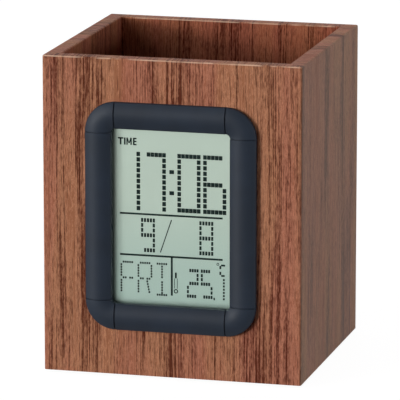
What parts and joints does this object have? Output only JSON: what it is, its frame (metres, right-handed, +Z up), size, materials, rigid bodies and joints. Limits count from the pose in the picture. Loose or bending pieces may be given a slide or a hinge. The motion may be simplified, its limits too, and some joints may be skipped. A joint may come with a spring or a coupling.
{
  "type": "desk clock with calendar",
  "caption": "Desk clock built into a square wood-grain pen stand, with a dark bezel and a liquid-crystal display of time, date, weekday and temperature.",
  "frame": {"origin": "on the table under the middle of the overall length and width", "axes": "+Z up, the display faces -Y, +X to the viewer's right"},
  "size_m": [0.08, 0.0778, 0.098],
  "materials": {
    "wood_grain_board": "fibreboard wrapped in reddish walnut wood-grain foil, satin",
    "foot_rubber": "matt stick-on feet",
    "bezel_plastic": "dark blue-grey moulded plastic, fine satin",
    "lens": "clear flat window, polished",
    "display_glass": "liquid-crystal glass pair with polarisers, grey-green",
    "reflector": "grey-green reflecting foil",
    "holder_plastic": "white moulded frame",
    "contact_rubber": "layered contact rubber, pink and black",
    "circuit_board": "green lacquered board with copper tracks",
    "switch_plastic": "black switch bodies",
    "plunger_plastic": "dark plungers",
    "chip_resin": "black resin drop over the chip",
    "tinned_steel": "drawn steel can",
    "sensor_resin": "dark resin bead on leads",
    "spring_steel": "plated spring steel",
    "brass": "thin brass plate",
    "ceramic": "silvered ceramic plate",
    "cell_steel": "plated steel coin cell",
    "back_plastic": "dark moulded plastic, fine texture",
    "door_plastic": "dark moulded plastic, fine texture",
    "button_plastic": "grey moulded caps",
    "screw_steel": "zinc-plated screws with a cross slot"
  },
  "bodies": {
    "stand": {"wall_front": "wood_grain_board", "wall_right": "wood_grain_board", "wall_back": "wood_grain_board", "wall_left": "wood_grain_board", "floor_panel": "wood_grain_board", "foot_pads": "foot_rubber"},
    "clock": {"bezel": "bezel_plastic", "lens": "lens", "display_glass_front": "display_glass", "display_glass_rear": "display_glass", "display_reflector": "reflector", "display_holder": "holder_plastic", "contact_strip_upper": "contact_rubber", "contact_strip_lower": "contact_rubber", "circuit_board": "circuit_board", "switch_housings": "switch_plastic", "chip_cover": "chip_resin", "quartz_crystal": "tinned_steel", "temperature_sensor": "sensor_resin", "buzzer_contacts": "spring_steel", "buzzer_plate": "brass", "buzzer_ceramic": "ceramic", "coin_cell": "cell_steel", "cell_contact_leaf": "spring_steel", "cell_contact_clip": "spring_steel", "back_cover": "back_plastic", "cover_screws": "screw_steel", "board_screws": "screw_steel"},
    "cell_door": {"cell_door": "door_plastic"},
    "button_mode": {"button_mode": "button_plastic", "plunger_mode": "plunger_plastic"},
    "button_set": {"button_set": "button_plastic", "plunger_set": "plunger_plastic"},
    "button_up": {"button_up": "button_plastic", "plunger_up": "plunger_plastic"},
    "button_down": {"button_down": "button_plastic", "plunger_down": "plunger_plastic"}
  },
  "joints": [
    {"name": "clock_pull", "type": "slide", "parent": "stand", "child": "clock", "axis": [0, -1, 0], "range_m": [0, 0.018]},
    {"name": "cell_door_turn", "type": "hinge", "parent": "clock", "child": "cell_door", "pos_m": [0, -0.0208, 0.0352], "axis": [0, 1, 0], "range_deg": [0, 60]},
    {"name": "press_mode", "type": "slide", "parent": "clock", "child": "button_mode", "axis": [0, -1, 0], "range_m": [0, 0.0003], "stiffness_N_per_m": 4000, "springref_m": -0.0001},
    {"name": "press_set", "type": "slide", "parent": "clock", "child": "button_set", "axis": [0, -1, 0], "range_m": [0, 0.0003], "stiffness_N_per_m": 4000, "springref_m": -0.0001},
    {"name": "press_up", "type": "slide", "parent": "clock", "child": "button_up", "axis": [0, -1, 0], "range_m": [0, 0.0003], "stiffness_N_per_m": 4000, "springref_m": -0.0001},
    {"name": "press_down", "type": "slide", "parent": "clock", "child": "button_down", "axis": [0, -1, 0], "range_m": [0, 0.0003], "stiffness_N_per_m": 4000, "springref_m": -0.0001}
  ]
}
